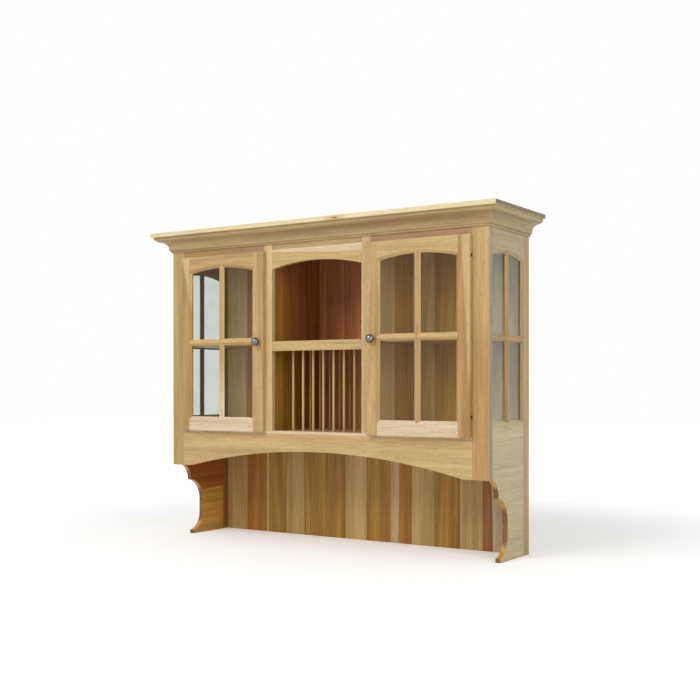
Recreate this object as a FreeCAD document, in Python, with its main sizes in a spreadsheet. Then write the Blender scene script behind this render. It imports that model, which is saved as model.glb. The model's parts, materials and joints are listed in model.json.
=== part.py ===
import FreeCAD, Part
import math
import os
import re
import Sketcher

# Upper case of a step back cupboard: a face frame with two glazed doors, an arched open
# niche over a plate rack, glazed side frames with bracket feet, and a mitred crown.
# Millimetres. X runs to the right, Y to the back, Z up; the origin is the middle of the
# footprint, on the surface that the feet stand on. The right half is modelled and the
# left half is its mirror image.

# ---------------------------------------------------------------- driving dimensions

SIZES = {
    # the case as a whole
    "body_width": 1454, "body_depth": 352, "open_height": 300, "case_height": 885,
    "crown_height": 62, "crown_reach": 57, "top_thick": 17, "top_ease": 2,
    "front_overhang": 70, "side_overhang": 66,
    # face frame
    "frame_thick": 20, "stile_width": 59, "mullion_width": 38, "niche_width": 418,
    "apron_height": 153, "apron_flat": 35, "apron_rise": 75, "opening_height": 701,
    "niche_rail_drop": 21, "niche_spring": 788, "niche_rise": 26,
    "shelf_rail_top": 504, "shelf_rail_height": 38,
    # boards inside
    "board_thick": 19, "side_shelf_top": 511, "shelf_setback": 6,
    "back_inset": 8, "back_thick": 14, "back_bevel": 2.5, "tongue": 6, "tongue_thick": 4,
    "joint_play": 0.3,
    # plate rack
    "dowel_thick": 9.5, "dowel_pitch": 48,
    "dowel_front_row": 54, "dowel_rear_row": 171,
    # doors
    "door_thick": 22, "door_lip": 18, "door_gap": 1, "door_lap": 6.5, "door_lap_rails": 7,
    "door_play": 2, "hinge_gap": 1.8, "door_round": 4,
    "latch_stile": 57, "door_glass_width": 315, "bottom_rail": 58,
    "door_arch_spring": 643, "door_arch_rise": 19, "door_muntin_height": 361,
    # moulded edge with its small step, glazing bars and glass, the same in doors and sides
    "stick_width": 9, "stick_depth": 8, "stick_step": 1.2, "seat_depth": 11, "rebate": 8,
    "bar_flat": 8, "glass_thick": 3, "glass_play": 1, "bead_width": 4, "bead_depth": 5,
    # sides
    "side_thick": 20, "side_front_stile": 20, "side_rear_stile": 50, "groove": 7,
    "panel_top": 204, "side_arch_spring": 787, "side_arch_rise": 17, "side_muntin_height": 500,
    "bracket_run": 50, "bracket_drop": 68, "bracket_step": 10, "bracket_riser": 2,
    "cove_run": 65, "cove_drop": 88, "foot_run": 60, "foot_rise": 70, "toe_height": 15,
    # crown moulding
    "bead_radius": 5, "bead_inset": 2, "bead_height": 9, "crown_fillet": 12.5, "cove_foot": 15,
    "crown_cove": 29.5, "crown_ledge": 45.5, "ledge_step": 2.5, "ovolo_radius": 11.5,
    # hinges, knobs and catches
    "knuckle_radius": 3.2, "knuckle_height": 10, "pin_radius": 1.4, "pin_play": 0.05,
    "leaf_thick": 0.8, "leaf_height": 44, "leaf_reach": 8, "knuckle_play": 0.25,
    "hinge_from_end": 74, "axis_front": 4, "axis_aside": 0.9,
    "knob_inset": 26, "knob_height": 357.5, "knob_reach": 30, "knob_radius": 16.5,
    "knob_neck": 5.5, "knob_foot": 8.5, "knob_waist": 6, "knob_crest": 14,
    "catch_height": 60, "catch_width": 13, "catch_above_shelf": 40,
    "strike_thick": 1.2, "strike_play": 0.5,
}
# Widths of the back boards from left to right; the last one fills up to the side.
BACK_BOARDS = [112, 120, 90, 99, 107, 97, 106.5, 109.5, 45, 53, 106, 108, 103, 95]
for number, width in enumerate(BACK_BOARDS, 1):
    SIZES[f"back_board_{number}"] = width

# ---------------------------------------------------------------- derived lines, as formulas

HALF = "body_width / 2"
FACE = "(front_overhang - body_depth) / 2"                  # front of the face frame
BACK = f"({FACE} + body_depth)"                             # back edge of the sides
FRAME_BACK = f"({FACE} + frame_thick)"
BACK_FACE = f"({BACK} - back_inset - back_thick)"           # front of the back boards
FOOT = "open_height"                                        # foot of the face frame
CROWN = "(open_height + case_height)"                       # underside of the crown
TOP = f"({CROWN} + crown_height)"                           # underside of the top board
APRON_TOP = "(open_height + apron_height)"
OPENING_TOP = f"({APRON_TOP} + opening_height)"
STILE_INNER = f"({HALF} - stile_width)"
MULLION_INNER = "niche_width / 2"
MULLION_OUTER = f"({MULLION_INNER} + mullion_width)"
SIDE_INNER = f"({HALF} - side_thick)"
PARTITION_OUTER = f"({MULLION_INNER} + board_thick)"

DOOR_FRONT = f"({FACE} - door_gap - door_lip)"
DOOR_BACK = f"({DOOR_FRONT} + door_thick)"
LATCH_EDGE = f"({MULLION_OUTER} - door_lap)"
HINGE_EDGE = f"({STILE_INNER} - hinge_gap)"
DOOR_FOOT = f"({APRON_TOP} - door_lap_rails)"
DOOR_TOP = f"({OPENING_TOP} + door_lap_rails)"
DOOR_SIGHT_LEFT = f"({LATCH_EDGE} + latch_stile)"
DOOR_SIGHT_RIGHT = f"({DOOR_SIGHT_LEFT} + door_glass_width)"
DOOR_SIGHT_FOOT = f"({DOOR_FOOT} + bottom_rail)"
DOOR_SPRING = f"({DOOR_FOOT} + door_arch_spring)"

SIDE_SIGHT_FRONT = f"({FRAME_BACK} + side_front_stile + stick_width)"
SIDE_SIGHT_BACK = f"({BACK} - side_rear_stile - stick_width)"
SIDE_SIGHT_FOOT = f"({FOOT} + panel_top)"
SIDE_SPRING = f"({FOOT} + side_arch_spring)"
BEAD_INSIDE = "(rebate - glass_play - bead_width)"          # past the sight edge

AXIS_X = f"({HINGE_EDGE} + axis_aside)"
AXIS_Y = f"({FACE} - axis_front)"

doc = FreeCAD.newDocument("StepBackCupboard")
sheet = doc.addObject("Spreadsheet::Sheet", "Sizes")
for row, (alias, value) in enumerate(SIZES.items(), 1):
    sheet.set(f"A{row}", alias)
    sheet.set(f"B{row}", str(value))
    sheet.setAlias(f"B{row}", alias)
doc.recompute()

nodes = []


# ---------------------------------------------------------------- ways of making a piece

def bound(formula):
    """The formula with each dimension's name turned into a reference to its cell."""
    return re.sub(r"[a-z_]+[a-z_0-9]*", lambda word: f"Sizes.{word[0]}" if word[0] in SIZES
                  else word[0], str(formula))


def value_of(formula):
    return float(sheet.evalExpression(bound(formula)))


def node(label, piece):
    """Names a finished sub-part and puts it on the list of those that are written."""
    piece.Label = label
    nodes.append(piece)
    return piece


def board(name, x, y, z):
    """A square-edged board between pairs of formulas along X, Y and Z."""
    piece = doc.addObject("Part::Box", name)
    for axis, length, (low, high) in zip("xyz", ("Length", "Width", "Height"), (x, y, z)):
        piece.setExpression(length, bound(f"({high}) - ({low})"))
        piece.setExpression(f"Placement.Base.{axis}", bound(low))
    return piece


def draw(sketch, path):
    """Draws a closed outline. Each item is (across, up), reached by a straight line, or
    (across, up, radius, side), reached by an arc whose centre lies to the left (+1) or
    right (-1) of the way there."""
    points = [(value_of(item[0]), value_of(item[1])) for item in path]
    ends = []
    for index, item in enumerate(path):
        (ax, ay), (bx, by) = points[index - 1], points[index]
        if len(item) == 2:
            shape = Part.LineSegment(FreeCAD.Vector(ax, ay, 0), FreeCAD.Vector(bx, by, 0))
            ends.append((1, 2))
        else:
            radius, side = value_of(item[2]), item[3]
            chord = math.hypot(bx - ax, by - ay)
            reach = side * math.sqrt(max(radius ** 2 - chord ** 2 / 4, 0)) / chord
            cx = (ax + bx) / 2 - (by - ay) * reach
            cy = (ay + by) / 2 + (bx - ax) * reach
            turns = [math.atan2(ay - cy, ax - cx), math.atan2(by - cy, bx - cx)]
            circle = Part.Circle(FreeCAD.Vector(cx, cy, 0), FreeCAD.Vector(0, 0, 1), radius)
            shape = Part.ArcOfCircle(circle, *(turns if side > 0 else turns[::-1]))
            ends.append((1, 2) if side > 0 else (2, 1))
        sketch.addGeometry(shape, False)
    for index, item in enumerate(path):
        after = (index + 1) % len(path)
        last = ends[index][1]
        sketch.addConstraint(Sketcher.Constraint("Coincident", index, last, after, ends[after][0]))
        for kind, formula, place in zip(("DistanceX", "DistanceY"), item, points[index]):
            number = sketch.addConstraint(Sketcher.Constraint(kind, -1, 1, index, last, place))
            sketch.setExpression(f"Constraints[{number}]", bound(formula))
        if len(item) > 2:
            number = sketch.addConstraint(Sketcher.Constraint("Radius", index, value_of(item[2])))
            sketch.setExpression(f"Constraints[{number}]", bound(item[2]))


def profile(name, plane, path, low, high):
    """A Body that pads the outline from one formula to the other across its plane."""
    body = doc.addObject("PartDesign::Body", name)
    sketch = body.newObject("Sketcher::SketchObject", f"{name}_outline")
    base = next(part for part in body.Origin.OriginFeatures if part.Role == f"{plane}_Plane")
    sketch.AttachmentSupport = [(base, "")]
    sketch.MapMode = "FlatFace"
    start = f"-({high})" if plane == "XZ" else f"{low}"      # the XZ plane faces the front
    sketch.setExpression("AttachmentOffset.Base.z", bound(start))
    draw(sketch, path)
    pad = body.newObject("PartDesign::Pad", f"{name}_pad")
    pad.Profile = sketch
    pad.setExpression("Length", bound(f"({high}) - ({low})"))
    body.Tip = pad
    return body


def drum(name, direction, centre, low, high, radius, far_radius=None):
    """A cylinder, or a cone between two radii, along X, Y or Z between two formulas."""
    piece = doc.addObject("Part::Cone" if far_radius else "Part::Cylinder", name)
    turn = {"X": FreeCAD.Rotation(FreeCAD.Vector(0, 1, 0), 90),
            "Y": FreeCAD.Rotation(FreeCAD.Vector(1, 0, 0), -90),
            "Z": FreeCAD.Rotation()}[direction]
    piece.Placement = FreeCAD.Placement(FreeCAD.Vector(), turn)
    places = dict(zip([axis for axis in "XYZ" if axis != direction], centre))
    places[direction] = low
    for axis, formula in places.items():
        piece.setExpression(f"Placement.Base.{axis.lower()}", bound(formula))
    piece.setExpression("Height", bound(f"({high}) - ({low})"))
    if far_radius:
        piece.setExpression("Radius1", bound(radius))
        piece.setExpression("Radius2", bound(far_radius))
    else:
        piece.setExpression("Radius", bound(radius))
    return piece


def group(name, pieces):
    piece = doc.addObject("Part::Compound", name)
    piece.Links = pieces
    return piece


def cut(name, base, *tools):
    piece = doc.addObject("Part::Cut", name)
    piece.Base = base
    piece.Tool = tools[0] if len(tools) == 1 else group(f"{name}_tools", list(tools))
    return piece


def common(name, base, tool):
    piece = doc.addObject("Part::Common", name)
    piece.Base = base
    piece.Tool = tool
    return piece


def fuse(name, *pieces):
    piece = doc.addObject("Part::MultiFuse", name)
    piece.Shapes = list(pieces)
    return piece


def mirror(name, source):
    piece = doc.addObject("Part::Mirroring", name)
    piece.Source = source
    piece.Normal = FreeCAD.Vector(1, 0, 0)
    return piece


def pair(label, right_piece):
    """Lists a right-hand piece as right_LABEL and its mirror image as left_LABEL."""
    node(f"right_{label}", right_piece)
    node(f"left_{label}", mirror(f"left_{label}", right_piece))


def arch_radius(half_span, rise):
    return f"((({half_span})^2 + ({rise})^2) / (2 * ({rise})))"


# ---------------------------------------------------------------- face frame

def face_frame():
    depth = (FACE, FRAME_BACK)
    pair("stile", board("stile", (STILE_INNER, HALF), depth, (FOOT, TOP)))
    pair("mullion", board("mullion", (MULLION_INNER, MULLION_OUTER), depth, (APRON_TOP, TOP)))
    pair("top_rail", board("top_rail", (MULLION_OUTER, STILE_INNER), depth, (OPENING_TOP, TOP)))

    niche_line = f"({CROWN} - niche_rail_drop)"
    niche = (f"-{MULLION_INNER}", MULLION_INNER)
    node("niche_top_rail", board("niche_top_rail", niche, depth, (niche_line, TOP)))
    rail_top = f"({FOOT} + shelf_rail_top)"
    node("shelf_rail", board("shelf_rail", niche, depth,
                             (f"{rail_top} - shelf_rail_height", rail_top)))

    spring = f"{FOOT} + niche_spring"
    arch = [(MULLION_INNER, niche_line), (f"-{MULLION_INNER}", niche_line),
            (f"-{MULLION_INNER}", spring),
            (MULLION_INNER, spring, arch_radius(MULLION_INNER, "niche_rise"), -1)]
    node("niche_arch_rail", profile("niche_arch_rail", "XZ", arch, *depth))

    arch_end = f"({STILE_INNER} - apron_flat)"
    apron = [(STILE_INNER, APRON_TOP), (f"-{STILE_INNER}", APRON_TOP), (f"-{STILE_INNER}", FOOT),
             (f"-{arch_end}", FOOT), (arch_end, FOOT, arch_radius(arch_end, "apron_rise"), -1),
             (STILE_INNER, FOOT)]
    node("apron", profile("apron", "XZ", apron, *depth))


# ---------------------------------------------------------------- boards, shelves and plate rack

def dowels():
    """Two rows of seven dowels between the bottom shelf and the niche shelf."""
    shelf_under = f"{FOOT} + shelf_rail_top - board_thick"
    for row in ("front", "rear"):
        pins = [drum(f"{row}_dowel_{place + 4}", "Z",
                     (f"{place} * dowel_pitch", f"{FACE} + dowel_{row}_row"),
                     APRON_TOP, shelf_under, "dowel_thick / 2") for place in range(-3, 4)]
        node(f"{row}_dowels", group(f"{row}_dowels", pins))


def inside_boards():
    depth = (FRAME_BACK, BACK_FACE)
    across = (f"-{SIDE_INNER}", SIDE_INNER)
    node("bottom_shelf", board("bottom_shelf", across, depth,
                               (f"{APRON_TOP} - board_thick", APRON_TOP)))
    node("case_top", board("case_top", across, depth, (f"{TOP} - board_thick", TOP)))

    niche_top = f"({FOOT} + shelf_rail_top)"
    niche = (f"-{MULLION_INNER}", MULLION_INNER)
    node("niche_shelf", board("niche_shelf", niche, depth, (f"{niche_top} - board_thick", niche_top)))

    pair("partition", board("partition", (MULLION_INNER, PARTITION_OUTER), depth,
                            (APRON_TOP, f"{TOP} - board_thick")))
    shelf_top = f"({FOOT} + side_shelf_top)"
    pair("shelf", board("shelf", (PARTITION_OUTER, SIDE_INNER),
                        (f"{FRAME_BACK} + shelf_setback", BACK_FACE),
                        (f"{shelf_top} - board_thick", shelf_top)))


def back_board(name, left, right, first, last):
    """A tongued and grooved board with bevelled front edges, from foot to top."""
    front, back = BACK_FACE, f"({BACK_FACE} + back_thick)"
    tongue_end = f"{right} + tongue"
    right = right if last else f"({right} - joint_play)"
    middle = f"({BACK_FACE} + back_thick / 2)"
    near, far = f"{middle} - tongue_thick / 2", f"{middle} + tongue_thick / 2"
    path = [(f"{left} + back_bevel", front), (f"{right} - back_bevel", front),
            (right, f"{front} + back_bevel")]
    if not last:
        path += [(right, near), (tongue_end, near), (tongue_end, far), (right, far)]
    path += [(right, back), (left, back)]
    if not first:
        slot = f"{left} + tongue + joint_play"
        path += [(left, f"{far} + joint_play"), (slot, f"{far} + joint_play"),
                 (slot, f"{near} - joint_play"), (left, f"{near} - joint_play")]
    path.append((left, f"{front} + back_bevel"))
    return profile(name, "XY", path, "0", TOP)


def back():
    """The back boards, in three groups: behind the left cupboard, the niche and the right."""
    widths = [f"back_board_{number}" for number in range(1, len(BACK_BOARDS) + 1)]
    groups = {"left": range(0, 5), "niche": range(5, 9), "right": range(9, 15)}
    for place, numbers in groups.items():
        pieces = []
        for number in numbers:
            left = " + ".join([f"-{SIDE_INNER}"] + widths[:number])
            last = number == len(widths)
            right = SIDE_INNER if last else f"{left} + {widths[number]}"
            pieces.append(back_board(f"back_board_{number + 1}", f"({left})", f"({right})",
                                     number == 0, last))
        node(f"{place}_back_boards", group(f"{place}_back_boards", pieces))


# ---------------------------------------------------------------- crown and top board

def crown_section(outward, side):
    """The moulding's section. outward turns a projection into a place; side mirrors arcs."""
    def step(projection, height, *arc):
        place = (outward(projection), f"{CROWN} + {height}")
        return place + (arc[0], arc[1] * side) if arc else place
    ledge_top = "cove_foot + crown_cove + ledge_step"
    return [step("0", "0"), step("bead_inset", "0"),
            step("(bead_inset + bead_radius)", "bead_radius", "bead_radius", 1),
            step("(bead_inset + bead_radius)", "bead_height"),
            step("crown_fillet", "bead_height"), step("crown_fillet", "cove_foot"),
            step("(crown_fillet + crown_cove)", "cove_foot + crown_cove", "crown_cove", -1),
            step("crown_ledge", "cove_foot + crown_cove"), step("crown_ledge", ledge_top),
            step("crown_reach", f"{ledge_top} + ovolo_radius", "ovolo_radius", 1),
            step("crown_reach", "crown_height"), step("0", "crown_height")]


def crown():
    """Crown moulding on the front and both sides, mitred at the two front corners."""
    reach = f"({HALF} + crown_reach)"
    front_line = f"{FACE} - crown_reach"
    front_run = profile("crown_front_run", "YZ",
                        crown_section(lambda place: f"{FACE} - {place}", -1), f"-{reach}", reach)
    front_plan = [(f"-{HALF}", FACE), (f"-{reach}", front_line), (reach, front_line), (HALF, FACE)]
    node("crown_front", common("crown_front", front_run,
                               profile("crown_front_plan", "XY", front_plan, CROWN, TOP)))
    side_run = profile("crown_side_run", "XZ",
                       crown_section(lambda place: f"{HALF} + {place}", 1), front_line, BACK)
    side_plan = [(HALF, FACE), (reach, front_line), (reach, BACK), (HALF, BACK)]
    pair("crown", common("crown_side", side_run,
                         profile("crown_side_plan", "XY", side_plan, CROWN, TOP)))


def top_board():
    """The top board, with its front and side edges eased by a small bevel."""
    side, front = f"({HALF} + side_overhang)", f"({FACE} - front_overhang)"
    high = f"({TOP} + top_thick)"
    slab = board("top_slab", (f"-{side}", side), (front, BACK), (TOP, high))
    path = [(front, f"{high} - top_ease"), (f"{front} + top_ease", high),
            (f"{front} - 1", f"{high} + 1"), (f"{front} - 1", f"{high} - top_ease")]
    cuts = [profile("top_front_ease", "YZ", path, f"-{side} - 1", f"{side} + 1")]
    for name, sign in (("left", "-1"), ("right", "1")):
        path = [(f"{sign} * {side}", f"{high} - top_ease"),
                (f"{sign} * ({side} - top_ease)", high),
                (f"{sign} * ({side} + 1)", f"{high} + 1"),
                (f"{sign} * ({side} + 1)", f"{high} - top_ease")]
        cuts.append(profile(f"top_{name}_ease", "XZ", path, f"{front} - 1", f"{BACK} + 1"))
    node("top_board", cut("top_board", slab, *cuts))


# ---------------------------------------------------------------- glazed side frames

def side_stile(name, face_line, sight, outer_edge, groove, low, high):
    """A side stile: moulded along the glass and rebated for it, seen from above."""
    toward = "-1" if groove else "1"                          # from the glass to the outer edge
    path = [(HALF, face_line), (f"{HALF} - stick_step", face_line),
            (f"{HALF} - stick_depth", sight), (f"{HALF} - seat_depth", sight),
            (f"{HALF} - seat_depth", f"{sight} + {toward} * rebate"),
            (SIDE_INNER, f"{sight} + {toward} * rebate"), (SIDE_INNER, outer_edge)]
    if groove:
        path += [(f"{HALF} - groove", outer_edge), (HALF, f"{outer_edge} + groove")]
    else:
        path.append((HALF, outer_edge))
    return profile(name, "XY", path, low, high)


def bracket_outline():
    """The panel under the side glass, with its two coves and the foot, seen from the side."""
    line = f"({FRAME_BACK} + side_front_stile)"
    step_in = f"({line} + bracket_run)"
    cove_start = f"({step_in} + bracket_step)"
    neck = f"({cove_start} + cove_run)"
    cusp = f"({FOOT} - bracket_drop)"
    cove_top = f"({cusp} - bracket_riser)"
    rear = f"({BACK} - side_rear_stile)"
    bracket_arc = "((bracket_run^2 + bracket_drop^2) / (2 * bracket_run))"
    cove_arc = "((cove_run^2 + cove_drop^2) / (2 * cove_run))"
    foot_arc = "((foot_run^2 + foot_rise^2) / (2 * foot_run))"
    return [(rear, SIDE_SIGHT_FOOT), (line, SIDE_SIGHT_FOOT), (line, FOOT),
            (step_in, cusp, bracket_arc, -1), (step_in, cove_top), (cove_start, cove_top),
            (neck, f"{cove_top} - cove_drop", cove_arc, -1), (neck, "toe_height + foot_rise"),
            (f"{neck} - foot_run", "toe_height", foot_arc, -1),
            (f"{neck} - foot_run", "0"), (rear, "0")]


def bars(name, plane, centre, height, across, up, face, seat, sign):
    """A cross of two glazing bars, bevelled from a narrow front to the glass."""
    half_flat, half_foot = "bar_flat / 2", "(bar_flat / 2 + stick_width)"
    step, bevel_end = f"{face} + {sign} * stick_step", f"{face} + {sign} * stick_depth"

    def section(middle, swap):
        points = [(f"{middle} - {half_flat}", step), (f"{middle} - {half_flat}", face),
                  (f"{middle} + {half_flat}", face), (f"{middle} + {half_flat}", step),
                  (f"{middle} + {half_foot}", bevel_end), (f"{middle} + {half_foot}", seat),
                  (f"{middle} - {half_foot}", seat), (f"{middle} - {half_foot}", bevel_end)]
        return [point[::-1] for point in points] if swap else points
    upright = profile(f"{name}_upright", "XY", section(centre, plane == "YZ"), *up)
    other = "XZ" if plane == "YZ" else "YZ"
    level = profile(f"{name}_level", other, section(height, True), *across)
    return fuse(f"{name}_cross", upright, level)


def pane_outline(left, right, foot, spring, rise, grow):
    """An arched outline that is larger than the sight opening by grow on every side."""
    half = f"(({right} - {left}) / 2)"
    radius = f"({arch_radius(half, rise)} + {grow})"
    centre = f"({spring} + {rise} - {arch_radius(half, rise)})"
    shoulder = f"({centre} + sqrt({radius}^2 - ({half} + {grow})^2))"
    return [(f"{right} + {grow}", f"{foot} - {grow}"), (f"{right} + {grow}", shoulder),
            (f"{left} - {grow}", shoulder, radius, 1), (f"{left} - {grow}", f"{foot} - {grow}")]


def side_frames():
    front_line = f"({SIDE_SIGHT_FRONT} - stick_width)"
    rear_line = f"({SIDE_SIGHT_BACK} + stick_width)"
    front = side_stile("side_front_stile_body", front_line, SIDE_SIGHT_FRONT, FRAME_BACK,
                       True, FOOT, TOP)
    rear = side_stile("side_rear_stile_body", rear_line, SIDE_SIGHT_BACK, BACK, False, "0", TOP)
    pair("side_front_stile", front)
    pair("side_rear_stile", rear)

    half = f"(({SIDE_SIGHT_BACK} - {SIDE_SIGHT_FRONT}) / 2)"
    middle = f"(({SIDE_SIGHT_BACK} + {SIDE_SIGHT_FRONT}) / 2)"
    radius = arch_radius(half, "side_arch_rise")
    centre = (middle, f"{SIDE_SPRING} + side_arch_rise - {radius}")
    blank = board("side_top_rail_blank", (SIDE_INNER, HALF), (front_line, rear_line),
                  (f"{SIDE_SPRING} - 2", TOP))
    arch = drum("side_arch", "X", centre, f"{SIDE_INNER} - 1", f"{HALF} + 1", radius)
    step = drum("side_arch_step", "X", centre, f"{HALF} - stick_step", f"{HALF} + 1",
                f"{radius} + stick_width")
    moulding = drum("side_arch_moulding", "X", centre, f"{HALF} - stick_depth",
                    f"{HALF} - stick_step", radius, f"{radius} + stick_width")
    rebate = drum("side_arch_rebate", "X", centre, f"{SIDE_INNER} - 1", f"{HALF} - seat_depth",
                  f"{radius} + rebate")
    rail = cut("side_top_rail", blank, arch, step, moulding, rebate, front, rear)
    pair("side_top_rail", rail)

    sheet_of_wood = profile("side_panel_blank", "YZ", bracket_outline(), SIDE_INNER, HALF)
    bevel = profile("side_panel_moulding", "XZ",
                    [(f"{HALF} - stick_step", f"{SIDE_SIGHT_FOOT} - stick_width"),
                     (f"{HALF} + 1", f"{SIDE_SIGHT_FOOT} - stick_width"),
                     (f"{HALF} + 1", f"{SIDE_SIGHT_FOOT} + 1"),
                     (f"{HALF} - stick_depth", f"{SIDE_SIGHT_FOOT} + 1"),
                     (f"{HALF} - stick_depth", SIDE_SIGHT_FOOT)], front_line, rear_line)
    ledge = board("side_panel_rebate", (f"{SIDE_INNER} - 1", f"{HALF} - seat_depth"),
                  (front_line, rear_line), (f"{SIDE_SIGHT_FOOT} - rebate", f"{SIDE_SIGHT_FOOT} + 1"))
    panel = cut("side_panel", sheet_of_wood, bevel, ledge, front, rear)
    pair("side_panel", panel)

    cross = bars("side", "YZ", middle, f"{FOOT} + side_muntin_height",
                 (front_line, rear_line), (f"{SIDE_SIGHT_FOOT} - stick_width", f"{CROWN} - 50"),
                 HALF, f"{HALF} - seat_depth", "-1")
    pair("side_muntins", cut("side_muntins", cross, front, rear, rail, panel))

    edges = (SIDE_SIGHT_FRONT, SIDE_SIGHT_BACK, SIDE_SIGHT_FOOT, SIDE_SPRING, "side_arch_rise")
    inner = f"({HALF} - seat_depth - glass_thick)"
    pane = pane_outline(*edges, "(rebate - glass_play)")
    pair("side_glass", profile("side_glass", "YZ", pane, inner, f"{HALF} - seat_depth"))
    back = f"({inner} - bead_depth)"
    ring = cut("side_bead_ring", profile("side_bead_outer", "YZ", pane, back, inner),
               profile("side_bead_inner", "YZ", pane_outline(*edges, BEAD_INSIDE),
                       f"{back} - 1", f"{inner} + 1"))
    pair("side_glass_bead", ring)


# ---------------------------------------------------------------- doors

def door_envelope():
    """The whole door as a slab: a lip with a rounded front edge, and behind it the part
    that goes into the opening. The hinge edge has no lip."""
    body = doc.addObject("PartDesign::Body", "door_envelope")
    front = [(LATCH_EDGE, DOOR_FOOT), (HINGE_EDGE, DOOR_FOOT), (HINGE_EDGE, DOOR_TOP),
             (LATCH_EDGE, DOOR_TOP)]
    inset = f"({MULLION_OUTER} + door_play)"
    low, high = f"({APRON_TOP} + door_play)", f"({OPENING_TOP} - door_play)"
    behind = [(inset, low), (HINGE_EDGE, low), (HINGE_EDGE, high), (inset, high)]
    origin = next(part for part in body.Origin.OriginFeatures if part.Role == "XZ_Plane")
    layers = (("lip", front, f"-({DOOR_FRONT} + door_lip)", "door_lip"),
              ("tray", behind, f"-{DOOR_BACK}", "door_thick - door_lip"))
    for name, path, start, thick in layers:
        sketch = body.newObject("Sketcher::SketchObject", f"door_{name}_outline")
        sketch.AttachmentSupport = [(origin, "")]
        sketch.MapMode = "FlatFace"
        sketch.setExpression("AttachmentOffset.Base.z", bound(start))
        draw(sketch, path)
        pad = body.newObject("PartDesign::Pad", f"door_{name}")
        pad.Profile = sketch
        pad.setExpression("Length", bound(thick))
    doc.recompute()
    faces = [f"Face{number}" for number, face in enumerate(pad.Shape.Faces, 1)
             if abs(face.CenterOfMass.y - value_of(DOOR_FRONT)) < 1e-3]
    rounding = body.newObject("PartDesign::Fillet", "door_rounded_edge")
    rounding.Base = (pad, faces)
    rounding.setExpression("Radius", bound("door_round"))
    body.Tip = rounding
    return body


def moulded_section(edge, sight, toward):
    """Section of a door member from its outer edge to the glass, as (across, depth) pairs.
    toward is the sign of the way from the glass to the outer edge."""
    face_end = f"{sight} + {toward} * stick_width"
    return [(edge, DOOR_FRONT), (face_end, DOOR_FRONT), (face_end, f"{DOOR_FRONT} + stick_step"),
            (sight, f"{DOOR_FRONT} + stick_depth"), (sight, f"{DOOR_FRONT} + seat_depth"),
            (f"{sight} + {toward} * rebate", f"{DOOR_FRONT} + seat_depth"),
            (f"{sight} + {toward} * rebate", DOOR_BACK), (edge, DOOR_BACK)]


def knob():
    """A turned metal knob: foot, neck and ball-like head."""
    base = DOOR_FRONT
    x, z = f"({LATCH_EDGE} + knob_inset)", f"({DOOR_FOOT} + knob_height)"
    body = doc.addObject("PartDesign::Body", "door_knob")
    sketch = body.newObject("Sketcher::SketchObject", "knob_section")
    origin = next(part for part in body.Origin.OriginFeatures if part.Role == "XY_Plane")
    sketch.AttachmentSupport = [(origin, "")]
    sketch.MapMode = "FlatFace"
    sketch.setExpression("AttachmentOffset.Base.z", bound(z))
    tip = f"{base} - knob_reach"
    dome = "((knob_radius^2 + (knob_reach - knob_crest)^2) / (2 * (knob_reach - knob_crest)))"
    draw(sketch, [(x, base), (f"{x} + knob_foot", base), (f"{x} + knob_foot", f"{base} - 2"),
                  (f"{x} + knob_neck", f"{base} - 4"), (f"{x} + knob_neck", f"{base} - knob_waist"),
                  (f"{x} + knob_radius", f"{base} - knob_crest", "knob_radius * 0.8", -1),
                  (x, tip, dome, -1)])
    turned = body.newObject("PartDesign::Revolution", "knob_turned")
    turned.Profile = sketch
    turned.Angle = 360
    turned.ReferenceAxis = (sketch, ["Edge1"])               # the line on the knob's own axis
    body.Tip = turned
    return body


def hinges(hinge_heights):
    """Hinges whose leaves lie in the gap between door and stile, with a short knuckle in
    front. Returns the leaves with the pins for the frame, the leaves for the door, and the
    room that the knuckles need in the door's edge."""
    frame_leaves, door_leaves, room = [], [], []
    centre = (AXIS_X, AXIS_Y)
    leaf_front = f"({AXIS_Y} + knuckle_radius + knuckle_play)"
    leaf_y, web_y = (leaf_front, f"{FACE} + leaf_reach"), (AXIS_Y, leaf_front)
    frame_x = (f"{STILE_INNER} - leaf_thick", STILE_INNER)
    door_x = (HINGE_EDGE, f"{HINGE_EDGE} + leaf_thick")
    for place, middle in hinge_heights.items():
        leaf_z = (f"{middle} - leaf_height / 2", f"{middle} + leaf_height / 2")
        low, high = f"({middle} - knuckle_height / 2)", f"({middle} + knuckle_height / 2)"
        lower_z, upper_z = (low, f"{middle} - knuckle_play"), (middle, high)
        frame_leaves.append(fuse(
            f"{place}_frame_leaf", board(f"{place}_frame_plate", frame_x, leaf_y, leaf_z),
            board(f"{place}_frame_web", frame_x, web_y, lower_z),
            drum(f"{place}_frame_knuckle", "Z", centre, *lower_z, "knuckle_radius"),
            drum(f"{place}_pin", "Z", centre, low, high, "pin_radius")))
        door_parts = fuse(
            f"{place}_door_parts", board(f"{place}_door_plate", door_x, leaf_y, leaf_z),
            board(f"{place}_door_web", door_x, web_y, upper_z),
            drum(f"{place}_door_knuckle", "Z", centre, *upper_z, "knuckle_radius"))
        bore = drum(f"{place}_bore", "Z", centre, f"{low} - 1", f"{high} + 1",
                    "pin_radius + pin_play")
        door_leaves.append(cut(f"{place}_door_leaf", door_parts, bore))
        room.append(drum(f"{place}_room", "Z", centre, f"{low} - 1", f"{high} + 1",
                         "knuckle_radius + 0.5"))
    return frame_leaves, door_leaves, room


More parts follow.
